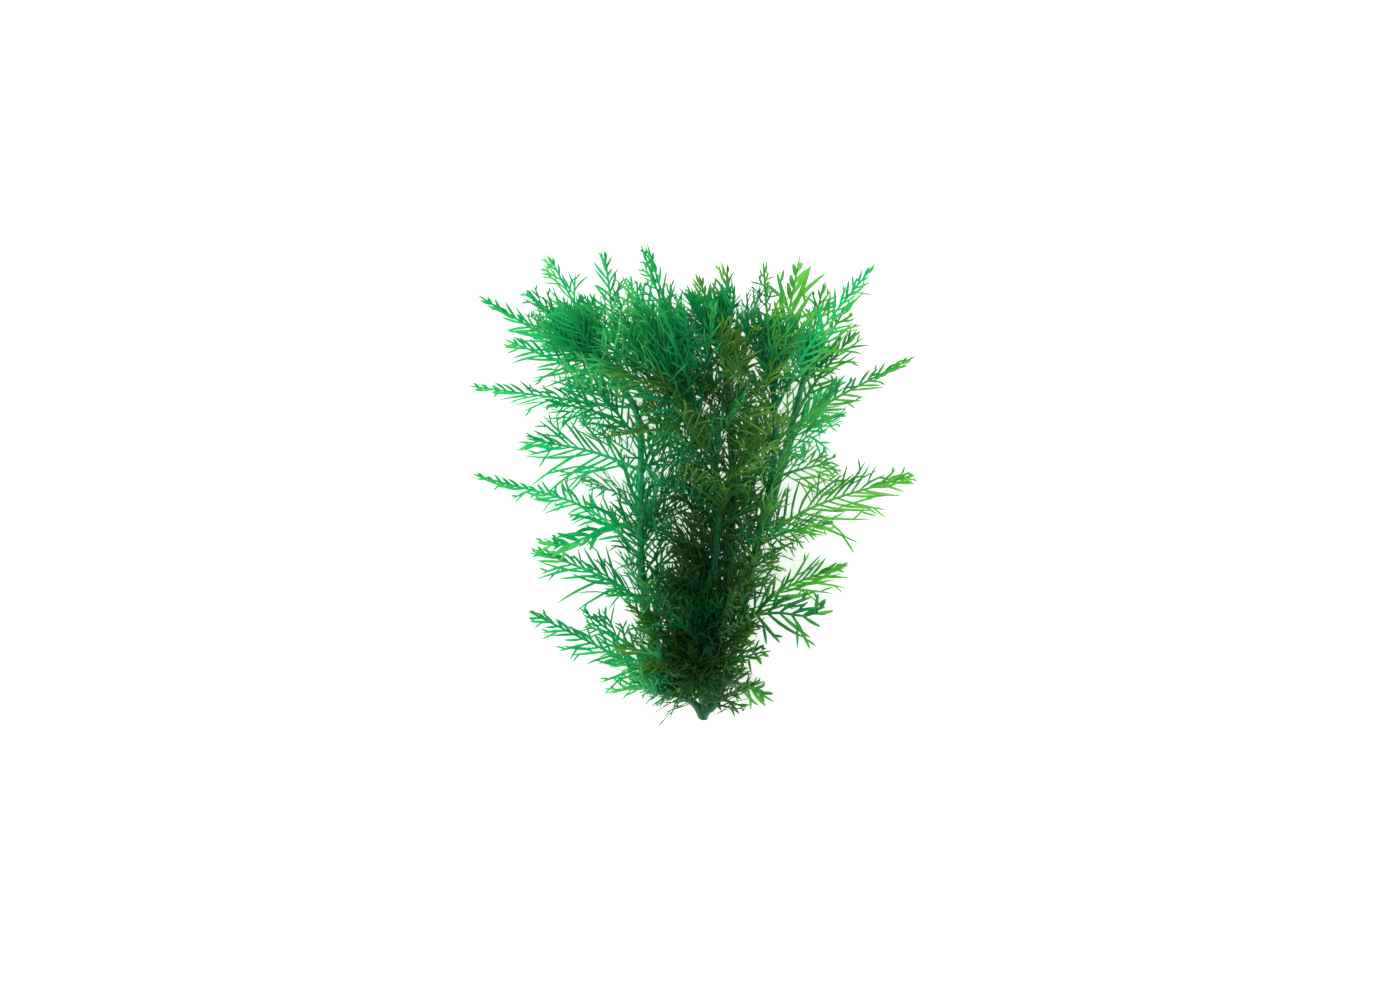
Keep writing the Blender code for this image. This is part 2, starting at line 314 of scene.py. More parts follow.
def measured(tree, name):
    """The value that the mesh holds under a name."""
    return add_node(tree, "ShaderNodeAttribute", attribute_name=name).outputs["Fac"]


def mix_colours(tree, share, first, second):
    """A colour mixed by a share; each colour is a socket or a plain colour."""
    made = tree.nodes.new("ShaderNodeMix")
    made.data_type = "RGBA"
    for value, place in ((share, 0), (first, 6), (second, 7)):
        if isinstance(value, bpy.types.NodeSocket):
            join_up(tree, value, made.inputs[place])
        elif place:
            made.inputs[place].default_value = (*value, 1)
        else:
            made.inputs[place].default_value = value
    return made.outputs[2]


def ranged(tree, value, low, high, to_low=0.0, to_high=1.0):
    """A value that runs from to_low to to_high while the given one runs from low to high."""
    made = add_node(tree, "ShaderNodeMapRange")
    for name, number in (("From Min", low), ("From Max", high), ("To Min", to_low), ("To Max", to_high)):
        made.inputs[name].default_value = number
    join_up(tree, value, made.inputs["Value"])
    return made.outputs["Result"]


def noise(tree, scale, detail=3.0, vector=None):
    made = add_node(tree, "ShaderNodeTexNoise", Scale=scale, Detail=detail)
    if vector is None:
        vector = add_node(tree, "ShaderNodeTexCoord").outputs["Object"]
    join_up(tree, vector, made.inputs["Vector"])
    return made.outputs["Fac"]


def sums(tree, operation, first, second):
    made = add_node(tree, "ShaderNodeMath", operation=operation)
    for value, place in ((first, 0), (second, 1)):
        if isinstance(value, bpy.types.NodeSocket):
            join_up(tree, value, made.inputs[place])
        else:
            made.inputs[place].default_value = value
    return made.outputs["Value"]


def plant_material(name, looks, see_through, gloss, relief, relief_depth):
    """A material with a Principled shader, and a share of light that comes through from behind. Looks makes
    its colour, the colour of that light, its roughness and its relief."""
    material = bpy.data.materials.new(name)
    material.use_nodes = True
    tree = material.node_tree
    shader = tree.nodes["Principled BSDF"]
    shader.inputs["Specular IOR Level"].default_value = gloss
    through = add_node(tree, "ShaderNodeBsdfTranslucent")
    both = add_node(tree, "ShaderNodeMixShader", Fac=see_through)
    bump = add_node(tree, "ShaderNodeBump", Strength=relief, Distance=relief_depth)
    colour, light, roughness, height = looks(tree)
    join_up(tree, colour, shader.inputs["Base Color"])
    join_up(tree, light, through.inputs["Color"])
    join_up(tree, roughness, shader.inputs["Roughness"])
    join_up(tree, height, bump.inputs["Height"])
    join_up(tree, bump.outputs["Normal"], shader.inputs["Normal"])
    join_up(tree, shader.outputs["BSDF"], both.inputs[1])
    join_up(tree, through.outputs["BSDF"], both.inputs[2])
    join_up(tree, both.outputs["Shader"], tree.nodes["Material Output"].inputs["Surface"])
    return material


FIBRE_GREEN = (0.002, 0.230, 0.075)
FLESH_GREEN = (0.020, 0.400, 0.120)
PATCH_GREEN = (0.040, 0.240, 0.030)
# The deep green that whole stems are darkened towards, as painted shade.
STEM_SHADE_GREEN = (0.000, 0.096, 0.036)
NODE_GREEN = (0.020, 0.150, 0.035)
# The green of the painted shade in the clump's middle.
SHADED_GREEN = (0.001, 0.085, 0.026)
CUT_END_GREEN = (0.160, 0.360, 0.100)
CUT_END_DEPTH = 0.6 * MM


def stem_looks(tree):
    """Fresh green flesh with fine fibres along it, darker rings at the nodes, painted shade that darkens a
    whole stem by its share and more in the clump's middle, and a pale cut end."""
    fibre = add_node(tree, "ShaderNodeCombineXYZ")
    join_up(tree, sums(tree, "MULTIPLY", measured(tree, "turn"), 1.6), fibre.inputs["X"])
    join_up(tree, sums(tree, "MULTIPLY", measured(tree, "run"), 60.0), fibre.inputs["Y"])
    streaks = noise(tree, 3.2, 4.0, fibre.outputs["Vector"])
    patches = noise(tree, 55.0, 2.0)
    green = mix_colours(tree, ranged(tree, streaks, 0.35, 0.68), FIBRE_GREEN, FLESH_GREEN)
    patched = ranged(tree, patches, 0.45, 0.75, 0.0, 0.5)
    # Painted shade: a whole stem darkened by its share, and darker still in the clump's middle.
    stem_shade = ranged(tree, measured(tree, "tone"), 0.0, 1.0, 0.0, 0.8)
    at_node = ranged(tree, measured(tree, "node"), 0.35, 1.0, 0.0, 0.6)
    in_shade = ranged(tree, measured(tree, "core"), 0.2, 0.85, 0.0, 0.85)
    at_cut = ranged(tree, measured(tree, "run"), 0.0, CUT_END_DEPTH, 0.8, 0.0)
    for share, colour in ((patched, PATCH_GREEN), (stem_shade, STEM_SHADE_GREEN), (at_node, NODE_GREEN),
                          (in_shade, SHADED_GREEN), (at_cut, CUT_END_GREEN)):
        green = mix_colours(tree, share, green, colour)
    return green, green, ranged(tree, streaks, 0.3, 0.7, 0.34, 0.55), streaks


stem_flesh = plant_material("stem_flesh", stem_looks, see_through=0.06, gloss=0.22, relief=0.35,
                            relief_depth=0.4 * MM)
for name, stem in stems.items():
    stem_mesh(stem, STEM_SHADES[name]).make(f"{name}_finished", stem_flesh, "stem", name)


# The leaves. Each is one thin blade, about 0.3 mm thick, cut twice: the midrib carries narrow side blades,
# ten or more a side on a long leaf, and many of those are cut again into pointed lobes. It grows out of a
# node on a short flat stalk. The leaves under the plant are pressed flat on what it lies on.
STALK_SHARE = 0.13
SIDE_BLADE_ROOT = 1.7 * MM
LOBE_PITCH = 4.4 * MM
LOBE_ROOT = 1.3 * MM
MIDRIB_HALF_WIDTH = 0.85 * MM
MIDRIB_HALF_THICKNESS = 0.42 * MM
JOINT_HALF_THICKNESS = 0.07 * MM
LOBE_HALF_THICKNESS = 0.14 * MM
SIDE_BLADE_HALF_THICKNESS = 0.20 * MM
LOWEST = 0.18 * MM
FLOOR_SOFTNESS = 0.9 * MM
FOLD = 0.30
UP = Vector((0, 0, 1))


class Cut(NamedTuple):
    """How a leaf is cut into its side blades and their lobes."""

    blade: float    # half the width of a side blade
    lobe: float     # half the width of a lobe
    pitch: float    # how far apart the side blades are
    lobes: int      # the most lobes that a side blade has on each edge
    lobed: float    # the share of the side blades that have lobes
    bare: float     # the share of a side blade that is bare at its root
    point: float    # how early a side blade narrows to its point
    lift: float     # how far the side blades stand up from the leaf, in radians
    angles: tuple   # a side blade's angle with the midrib at the leaf's foot and at its tip, in degrees
    taper: float    # how much shorter the last side blades are


NEEDLE_CUT = Cut(blade=0.76 * MM, lobe=0.54 * MM, pitch=5.0 * MM, lobes=1, lobed=0.35, bare=0.30, point=0.80,
                 lift=0.40, angles=(50, 17), taper=0.48)
FINE_CUT = Cut(blade=0.62 * MM, lobe=0.52 * MM, pitch=6.0 * MM, lobes=2, lobed=0.90, bare=0.20, point=0.70,
               lift=0.35, angles=(52, 19), taper=0.48)
PLAIN_CUT = Cut(blade=0.98 * MM, lobe=0.74 * MM, pitch=6.2 * MM, lobes=1, lobed=0.50, bare=0.28, point=0.45,
                lift=0.30, angles=(54, 27), taper=0.55)
BROAD_CUT = Cut(blade=1.30 * MM, lobe=0.85 * MM, pitch=6.4 * MM, lobes=1, lobed=0.40, bare=0.30, point=0.65,
                lift=0.20, angles=(38, 20), taper=0.65)


class Blade:
    """A leaf as it is cut, before it bends: each point has its place (across, along, above), the place along
    the midrib that it bends with, half the blade's thickness there, how much it is on a rib, how near it is
    to the end of its lobe, and its tone. All points of a side blade bend with the place that it grows
    from."""

    def __init__(self):
        self.places = []
        self.anchors = []
        self.anchor = None
        self.halves = []
        self.ribs = []
        self.ends = []
        self.tones = []
        self.tone = 0
        self.tris = []
        self.quads = []

    def point(self, place, half, rib, end):
        self.places.append(place)
        self.anchors.append(place.y if self.anchor is None else self.anchor)
        self.halves.append(half)
        self.ribs.append(rib)
        self.ends.append(end)
        self.tones.append(self.tone)
        return len(self.places) - 1

    def row(self, place, left, up, half_width, half, end):
        """A left edge, a rib and a right edge across the blade, with the edges folded up a little."""
        fold = up * half_width * FOLD
        return (self.point(place + left * half_width + fold, 0, 0, end),
                self.point(place, half, 1, end),
                self.point(place - left * half_width + fold, 0, 0, end))

    def span(self, low, high):
        """The two faces between two rows."""
        self.quads.append((low[0], low[1], high[1], high[0]))
        self.quads.append((low[1], low[2], high[2], high[1]))

    def root(self, left, right, row):
        """The faces that join a first row to the edge that it grows from."""
        self.tris += [(left, row[1], row[0]), (left, right, row[1]), (right, row[2], row[1])]
        for corner in (left, right):
            self.halves[corner] = JOINT_HALF_THICKNESS

    def close(self, row, place, end):
        """The two faces from a last row to a point."""
        tip = self.point(place, 0, 0.4, end)
        self.tris += [(row[0], row[1], tip), (row[1], row[2], tip)]


# A lobe's rows, each with its share of the length and of the width, how far its line curves and rises, and
# how near to an end its first and its last point are.
LOBE_ROWS = ((0.24, 0.95), (0.58, 0.90), (0.86, 0.50))
LOBE_CURVE = (-0.35, 0.35)
LOBE_RISE = (-0.40, 0.20)
LOBE_ENDS = (0.20, 0.90)


def turned(heading, up, curve, rise):
    """The heading and the upper side of a line that goes on with a curve to the left and a rise."""
    heading = Quaternion(up, curve) @ heading
    turn = Quaternion(up.cross(heading), -rise)
    return turn @ heading, turn @ up


def between(ends, share):
    return ends[0] + (ends[1] - ends[0]) * share


def grow_lobe(blade, left, right, heading, up, length, half_width, luck):
    """A narrow pointed lobe on the edge between two points."""
    place = (blade.places[left] + blade.places[right]) / 2
    curve = luck.uniform(*LOBE_CURVE)
    rise = luck.uniform(*LOBE_RISE)
    before = None
    share = 0
    for mark, width in LOBE_ROWS:
        step = mark - share
        share = mark
        heading, up = turned(heading, up, curve * step, rise * step)
        place = place + heading * step * length
        row = blade.row(place, up.cross(heading), up, half_width * width, LOBE_HALF_THICKNESS,
                        between(LOBE_ENDS, share))
        if before is None:
            blade.root(left, right, row)
        else:
            blade.span(before, row)
        before = row
    blade.close(before, place + heading * (1 - share) * length, 1.0)


# The rows of a side blade without lobes, the shares of a side blade at its last lobe and at its last row,
# how far its line rises and curves towards the leaf's tip, how near to an end its first and last point are,
# and how its lobes stand.
PLAIN_ROWS = (0.10, 0.32, 0.54, 0.74, 0.89)
LAST_LOBE = 0.70
LAST_ROW = 0.90
LONGEST_LOBE_ROOT = 0.10
SIDE_BLADE_RISE = (-0.60, 0.15)
SIDE_BLADE_SWEEP = (-0.25, 0.60)
SIDE_BLADE_ENDS = (0.15, 0.85)
LOBE_ANGLES = (0.38, 0.66)
LOBE_REACHES = (0.55, 1.05)
LEAST_LOBE = 1.4 * MM
LOBE_WIDTHS = (0.85, 1.15)


def side_blade_rows(length, cut, luck):
    """The rows across a side blade: the share of its length, and the edge with a lobe between that row and
    the one before."""
    lobes = min(cut.lobes, round(length / LOBE_PITCH - 1.0)) if luck.random() < cut.lobed else 0
    if lobes <= 0:
        return [(share, "") for share in PLAIN_ROWS]
    root = min(LOBE_ROOT / length, LONGEST_LOBE_ROOT)
    edges = luck.choice([("left", "right"), ("right", "left")])
    marks = [(cut.bare * 0.5, "")]
    for i, share in enumerate(np.linspace(cut.bare, LAST_LOBE, 2 * lobes)):
        marks += [(share, ""), (share + root, edges[i % 2])]
    return [*marks, (LAST_ROW, "")]


def grow_side_blade(blade, left, right, heading, up, length, sweep, cut, luck):
    """A side blade on the edge between two points: it curves towards the leaf's tip and ends in a point, and
    it is either plain or carries lobes in turn on its two edges."""
    place = (blade.places[left] + blade.places[right]) / 2
    rise = luck.uniform(*SIDE_BLADE_RISE)
    before = None
    share = 0
    for mark, lobed_edge in side_blade_rows(length, cut, luck):
        step = mark - share
        share = mark
        heading, up = turned(heading, up, sweep * step, rise * step)
        place = place + heading * step * length
        width = cut.blade * min(1, 0.6 + 1.2 * share) * (1 - share ** 3) ** cut.point
        row = blade.row(place, up.cross(heading), up, width, SIDE_BLADE_HALF_THICKNESS,
                        between(SIDE_BLADE_ENDS, share))
        if before is None:
            blade.root(left, right, row)
        else:
            blade.span(before, row)
        if lobed_edge:
            sign = 1 if lobed_edge == "left" else -1
            ahead = Quaternion(up, sign * luck.uniform(*LOBE_ANGLES)) @ heading
            reach = length * (1 - share) * luck.uniform(*LOBE_REACHES) + LEAST_LOBE
            width = cut.lobe * luck.uniform(*LOBE_WIDTHS)
            edge = (before[0], row[0]) if sign > 0 else (row[2], before[2])
            grow_lobe(blade, *edge, ahead, up, reach, width, luck)
        before = row
    blade.close(before, place + heading * (1 - share) * length, 1.0)


def leaf_reach(along, taper):
    """How far the side blades reach sideways, as a share of the widest, by place along the leaf."""
    return math.sin(math.pi * (0.16 + 0.72 * along ** 0.80)) * (1 - taper * along ** 3)


# The rows of the stalk, how far the right side blades stand past the left ones, as a share of the pitch, how
# long the end lobe is, and how the midrib gets narrower, wider at its foot, and thinner.
STALK_ROWS = (0, 0.35, 0.7)
STAGGERS = [0, 0.45, 0.5]
END_LOBE = 0.6
END_ROW = 0.4
LONGEST_ROOT = 0.36
MIDRIB_NARROWING = 0.45
FOOT_WIDENING = 0.7
FOOT_SHARE = 0.06
MIDRIB_THINNING = 0.55
MIDRIB_ENDS = (0.10, 0.60)

# How much the side blades of one leaf differ: in their lift, angle, twist, reach and tone. Those on the
# bright side are longer and paler, and all are deeper towards the leaf's foot than towards its tip, partly
# the leaf's own colour and partly painted shade where its neighbours crowd round the stem.
LEANS = [0.2, 0.7, 1.1, 2.0]
LIFT_SPREAD = 0.22
ANGLE_SPREAD = 0.16
TWIST_SPREAD = 0.35
REACHES = [0.6, 0.85, 1.0, 1.0, 1.2]
TONE_SPREAD = 0.30
BRIGHT_SIDE_REACH = 0.14
BRIGHT_SIDE_TONE = 0.35
TONE_TO_TIP = 0.6
MIDDLE = 0.55
TIP_LOBE = 1.02


def cut_blade(length, half_width, cut, luck, bright_side=0):
    """A whole leaf before it bends: its stalk, its midrib with side blades, and its end lobe. Its bright side
    is 1 for the left, -1 for the right and 0 for none."""
    blade = Blade()
    pairs = max(3, round(length * (1 - STALK_SHARE) / cut.pitch))
    pitch = (1 - STALK_SHARE) / (pairs + END_LOBE)
    root = min(SIDE_BLADE_ROOT / length, pitch * LONGEST_ROOT)
    stagger = pitch * luck.choice(STAGGERS)
    marks = [(STALK_SHARE * share, "") for share in STALK_ROWS]
    for pair in range(pairs):
        start = STALK_SHARE + pair * pitch
        if stagger:
            marks += [(start, "left"), (start + root, ""),
                      (start + stagger, "right"), (start + stagger + root, "")]
        else:
            marks += [(start, "both"), (start + root, "")]
    marks.append((1 - pitch * END_ROW, ""))
    ahead = Vector((0, 1, 0))
    left = Vector((-1, 0, 0))
    lean = cut.lift * luck.choice(LEANS)
    middle_sine = math.sin(math.radians(0.6 * cut.angles[0] + 0.4 * cut.angles[1]))
    before = None
    for (along, _), sides in zip(marks, [""] + [mark[1] for mark in marks]):
        width = MIDRIB_HALF_WIDTH * (1 - MIDRIB_NARROWING * along)
        width *= 1 + FOOT_WIDENING * max(0, 1 - along / FOOT_SHARE)
        half = MIDRIB_HALF_THICKNESS * (1 - MIDRIB_THINNING * along)
        row = blade.row(ahead * along * length, left, UP, width, half, between(MIDRIB_ENDS, along))
        if before:
            blade.span(before, row)
        for side, sign in (("left", 1), ("right", -1)):
            if sides not in (side, "both"):
                continue
            share = max(0, along - STALK_SHARE) / (1 - STALK_SHARE)
            angle = math.radians(between(cut.angles, share)) + luck.uniform(-ANGLE_SPREAD, ANGLE_SPREAD)
            heading = Quaternion(UP, sign * angle) @ ahead
            lift = lean + luck.uniform(-LIFT_SPREAD, LIFT_SPREAD)
            heading = (heading * math.cos(lift) + UP * math.sin(lift)).normalized()
            up = (UP - heading * UP.dot(heading)).normalized()
            up = Quaternion(heading, luck.uniform(-TWIST_SPREAD, TWIST_SPREAD)) @ up
            reach = half_width * leaf_reach(along, cut.taper) / middle_sine * luck.choice(REACHES)
            reach *= 1 + BRIGHT_SIDE_REACH * sign * bright_side
            blade.tone = luck.uniform(-TONE_SPREAD, TONE_SPREAD) - BRIGHT_SIDE_TONE * sign * bright_side
            # Deeper towards the leaf's foot: partly the leaf's own colour and partly painted shade from the
            # crowding neighbours.
            blade.tone += TONE_TO_TIP * (MIDDLE - along)
            sweep = -sign * luck.uniform(*SIDE_BLADE_SWEEP)
            edge = (before[0], row[0]) if sign > 0 else (row[2], before[2])
            blade.anchor = along * length
            grow_side_blade(blade, *edge, heading, up, reach, sweep, cut, luck)
            blade.anchor = None
            blade.tone = 0
        before = row
    blade.close(before, ahead * length * TIP_LOBE, 1.0)
    return blade


LINE_STEPS = 48


class LeafLine:
    """The line that a leaf's midrib follows, with the direction that its upper side faces at each place."""

    def __init__(self, points, face):
        self.places = evenly(points, run_along(points)[-1] / LINE_STEPS)
        self.length = run_along(self.places)[-1]
        self.directions = unit(np.gradient(self.places, axis=0))
        self.uppers = unit(face - self.directions * (self.directions @ face)[:, None])
        self.sides = np.cross(self.directions, self.uppers)

    def at(self, values, marks):
        """The values of the line's points at some shares of its length."""
        steps = np.linspace(0, 1, len(values))
        return np.stack([np.interp(marks, steps, column) for column in values.T], axis=1)

    def bend(self, blade, curl):
        """The places of a cut leaf that is laid along the line, with its edges curled down."""
        across, along, above = np.array([tuple(place) for place in blade.places]).T
        marks = np.clip(np.array(blade.anchors) / self.length, 0, 1)
        ahead = along - marks * self.length
        bent = self.at(self.places, marks) + self.at(self.directions, marks) * ahead[:, None]
        bent += self.at(self.sides, marks) * across[:, None]
        bent += self.at(self.uppers, marks) * (above - curl * across ** 2)[:, None]
        return bent


def keep_above_floor(points, halves):
    """Presses flat what would reach below the surface, with a soft change to what is above it."""
    low = LOWEST + halves
    points[:, 2] = low + FLOOR_SOFTNESS * np.logaddexp(0, (points[:, 2] - low) / FLOOR_SOFTNESS)
    return points


def thicken(mesh, blade, points, tone):
    """Adds a bent blade to a mesh as a thin closed solid: a point becomes two that stand apart by the
    thickness, and stays one along the edges."""
    halves = np.array(blade.halves)
    tris, quads = np.array(blade.tris), np.array(blade.quads)
    points = keep_above_floor(points, halves)
    normals = np.zeros_like(points)
    for faces in (tris, quads):
        square = np.cross(points[faces[:, 2]] - points[faces[:, 0]],
                          points[faces[:, -1]] - points[faces[:, 1]])
        for column in faces.T:
            np.add.at(normals, column, square)
    normals = unit(normals + 1e-18)
    split = halves > 0
    low_index = np.arange(len(points))
    low_index[split] = len(points) + np.arange(split.sum())
    offsets = normals * halves[:, None]
    both = np.vstack([points + offsets, (points - offsets)[split]])
    edges = np.vstack([np.stack([faces, np.roll(faces, -1, axis=1)], axis=2).reshape(-1, 2)
                       for faces in (tris, quads)])
    keys = edges[:, 0] * len(points) + edges[:, 1]
    free = edges[~np.isin(keys, edges[:, 1] * len(points) + edges[:, 0])]
    start_split, end_split = split[free[:, 0]], split[free[:, 1]]
    start, end = free.T
    walls = np.stack([end, start, low_index[start], low_index[end]], axis=1)[start_split & end_split]
    only_start = np.stack([end, start, low_index[start]], axis=1)[start_split & ~end_split]
    only_end = np.stack([end, start, low_index[end]], axis=1)[~start_split & end_split]
    all_tris = np.vstack([tris, low_index[tris[:, ::-1]], only_start, only_end])
    all_quads = np.vstack([quads, low_index[quads[:, ::-1]], walls])
    given = {"rib": np.array(blade.ribs), "end": np.array(blade.ends), "core": clump_shade_at(points),
             "tone": tone + np.array(blade.tones)}
    given = {name: np.append(values, values[split]) for name, values in given.items()}
    mesh.add(both, all_tris, all_quads, **given)


# A modelled leaf's midrib is a narrow strip, and its lobes reach out from that.
MIDRIB_STRIP = 1.5 * MM
LOBE_DISTANCE = 2.5 * MM
LEAST_LIFT = 0.4 * MM
FIT_SPREADS = np.geomspace(9 * MM, 0.9 * MM, 14)
FIT_STEPS = 40
MOST_CURL = 10
DEPTH_IN_THE_STEM = 0.5
JOIN_SHARE = 0.35
SMOOTHINGS = 3
TO_THE_FRONT = np.array([0, 0.25, 1.0])


def powers(marks):
    return np.stack([marks ** power for power in (1, 2, 3, 4)], axis=1)


def read_leaf(node):
    """The line of a modelled leaf, half its width and how much its edges curl down."""
    stem_name, root = leaf_roots[node]
    stem = stems[stem_name]
    step, outward = stem.outward(root)
    points = corners(node)
    chord = unit(points.mean(axis=0) - root)
    marks = (points - root) @ chord
    across = points - root - marks[:, None] * chord
    scale = powers(marks).max(axis=0)
    terms = powers(marks) / scale
    weights = np.ones(len(points))
    for spread in FIT_SPREADS:
        fit = np.linalg.lstsq(terms * weights[:, None], across * weights[:, None], rcond=None)[0]
        away = np.linalg.norm(across - terms @ fit, axis=1)
        weights = 1 / (1 + (away / spread) ** 2)
    reach = np.linspace(0, marks[away < MIDRIB_STRIP].max(), FIT_STEPS)
    line = root + reach[:, None] * chord + (powers(reach) / scale) @ fit
    lobes = points[away > LOBE_DISTANCE]
    nearest = np.argmin(np.linalg.norm(lobes[:, None] - line[None], axis=2), axis=1)
    directions = unit(np.gradient(line, axis=0))
    out = lobes - line[nearest]
    out = out - directions[nearest] * np.sum(out * directions[nearest], axis=1)[:, None]
    side = np.linalg.svd(out)[2][0]
    face = unit(np.cross(side, unit(line[-1] - line[0])))
    lifted = (out @ face).mean()
    upside_down = lifted > 0 if abs(lifted) > LEAST_LIFT else face @ TO_THE_FRONT < 0
    if upside_down:
        face = -face
        lifted = -lifted
    half_width = np.abs(out @ side).max()
    curl = -lifted / np.mean((out @ side) ** 2)
    inside = stem.places[step] + outward * stem.radii[step] * DEPTH_IN_THE_STEM
    join = root * (1 - JOIN_SHARE) + inside * JOIN_SHARE
    line = np.vstack([inside, join, line[1:]])
    for _ in range(SMOOTHINGS):
        line[1:-1] = (line[:-2] + 2 * line[1:-1] + line[2:]) / 4
    return LeafLine(line, face), half_width, float(np.clip(curl, 0, MOST_CURL))


def leaf_surface_group():
    """The green of a leaf, by where it is on the blade, with painted shade deep in the clump and a paler end
    that is partly painted light, and with its gloss and its relief.
    """
    tree = bpy.data.node_groups.new("leaf_surface", "ShaderNodeTree")
    for name in ("Bright", "Deep", "Shaded", "Pale end"):
        tree.interface.new_socket(name=name, in_out="INPUT", socket_type="NodeSocketColor")
    for name in ("Colour", "Through"):
        tree.interface.new_socket(name=name, in_out="OUTPUT", socket_type="NodeSocketColor")
    for name in ("Roughness", "Height"):
        tree.interface.new_socket(name=name, in_out="OUTPUT", socket_type="NodeSocketFloat")
    given = tree.nodes.new("NodeGroupInput")
    result = tree.nodes.new("NodeGroupOutput")
    patches = noise(tree, 42.0, 3.0)
    grain = noise(tree, 900.0, 2.0)
    tone = measured(tree, "tone")
    rib = measured(tree, "rib")
    end = measured(tree, "end")
    mixed = sums(tree, "ADD", sums(tree, "MULTIPLY", patches, 0.9), sums(tree, "MULTIPLY", tone, 0.9))
    age = ranged(tree, mixed, 0.50, 1.35)
    freshest = ranged(tree, mixed, 0.50, 0.15, 0.0, 0.70)
    green = mix_colours(tree, age, given.outputs["Bright"], given.outputs["Deep"])
    green = mix_colours(tree, freshest, green, given.outputs["Pale end"])
    # Painted shade: deep in the clump the green turns towards the Shaded green, and the paler ends and ribs
    # fade there.
    core = ranged(tree, measured(tree, "core"), 0.12, 0.95, 0.0, 0.96)
    green = mix_colours(tree, core, green, given.outputs["Shaded"])
    outside_clump_shade = ranged(tree, core, 0.0, 1.0, 1.0, 0.45)
    # Paler towards the lobe ends: partly the leaf's own colour and partly painted light through the thin
    # ends.
    pale = sums(tree, "MULTIPLY", ranged(tree, end, 0.60, 1.0, 0.0, 0.65), outside_clump_shade)
    green = mix_colours(tree, pale, green, given.outputs["Pale end"])
    ribbed = sums(tree, "MULTIPLY", ranged(tree, rib, 0.55, 1.0, 0.0, 0.30), outside_clump_shade)
    green = mix_colours(tree, ribbed, green, given.outputs["Pale end"])
    join_up(tree, green, result.inputs["Colour"])
    through = mix_colours(tree, 0.25, green, given.outputs["Bright"])
    join_up(tree, through, result.inputs["Through"])
    join_up(tree, ranged(tree, grain, 0.3, 0.7, 0.40, 0.60), result.inputs["Roughness"])
    relief = sums(tree, "ADD", sums(tree, "MULTIPLY", grain, 0.5), rib)
    join_up(tree, relief, result.inputs["Height"])
    return tree


leaf_surface = leaf_surface_group()


def leaf_material(name, bright, deep, shaded, pale_end):
    """Leaf green: where it is fresh, where it is older, deep in the clump as painted shade, at the ends
    partly as painted light, and on the ribs.
    """

    def looks(tree):
        surface = add_node(tree, "ShaderNodeGroup", node_tree=leaf_surface)
        colours = {"Bright": bright, "Deep": deep, "Shaded": shaded, "Pale end": pale_end}
        for socket, colour in colours.items():
            surface.inputs[socket].default_value = (*colour, 1)
        return [surface.outputs[socket] for socket in ("Colour", "Through", "Roughness", "Height")]

    return plant_material(name, looks, see_through=0.50, gloss=0.15, relief=0.4, relief_depth=0.15 * MM)


blue_green_leaf = leaf_material("blue_green_leaf", bright=(0.003, 0.600, 0.215), deep=(0.000, 0.340, 0.115),
                                shaded=(0.002, 0.090, 0.026), pale_end=(0.170, 0.640, 0.180))
yellow_green_leaf = leaf_material("yellow_green_leaf", bright=(0.125, 0.540, 0.065),
                                  deep=(0.001, 0.260, 0.090), shaded=(0.006, 0.088, 0.024),
                                  pale_end=(0.270, 0.660, 0.140))
# Darker olive green for the leaves of the main stem, the low shoot and the clump's middle: partly their own
# olive and partly painted shade.
dark_leaf = leaf_material("dark_leaf", bright=(0.150, 0.400, 0.045), deep=(0.003, 0.230, 0.070),
                          shaded=(0.008, 0.074, 0.020), pale_end=(0.260, 0.580, 0.090))

LEFT_FINISH = (blue_green_leaf, "blue_green_leaf")
RIGHT_FINISH = (yellow_green_leaf, "yellow_green_leaf")
DARK_FINISH = (dark_leaf, "dark_leaf")
LEAF_FINISH = {"left_shoot": LEFT_FINISH, "centre_shoot": LEFT_FINISH, "main_stem": DARK_FINISH,
               "low_shoot": DARK_FINISH, "right_shoot": RIGHT_FINISH, "far_right_shoot": RIGHT_FINISH}
LEFT_CUTS = [NEEDLE_CUT, NEEDLE_CUT, FINE_CUT]
RIGHT_CUTS = [PLAIN_CUT, PLAIN_CUT, NEEDLE_CUT, FINE_CUT]

# The leaves that differ from their neighbours: in their cut, in their finish or in their width, which is a
# share of the modelled leaf's.
BROAD_LEAVES = {"right_leaf_1", "left_leaf_6"}
FEATHERY_LEAVES = {"left_leaf_1", "left_leaf_5", "left_leaf_11", "left_leaf_12", "right_leaf_10",
                   "right_leaf_11", "far_right_leaf_2", "far_right_leaf_3"}
BLUE_LEAVES = {"right_leaf_9", "right_leaf_11", "far_right_leaf_2"}
LEAF_WIDTHS = {"right_leaf_6": 1.05, "right_leaf_5": 1.0}
USUAL_WIDTH = 0.86
NARROW_WIDTH = 0.74

FRESHEST_TONE = 0.1
OLDEST_TONE = 0.9
BROAD_TONE = 0.0
LEAF_SEED = 400


def brighter_side(line):
    """The side of a leaf that is turned down to the plant's foot: 1 for its left and -1 for its right."""
    return -1 if line.sides[LINE_STEPS // 2][1] < 0 else 1


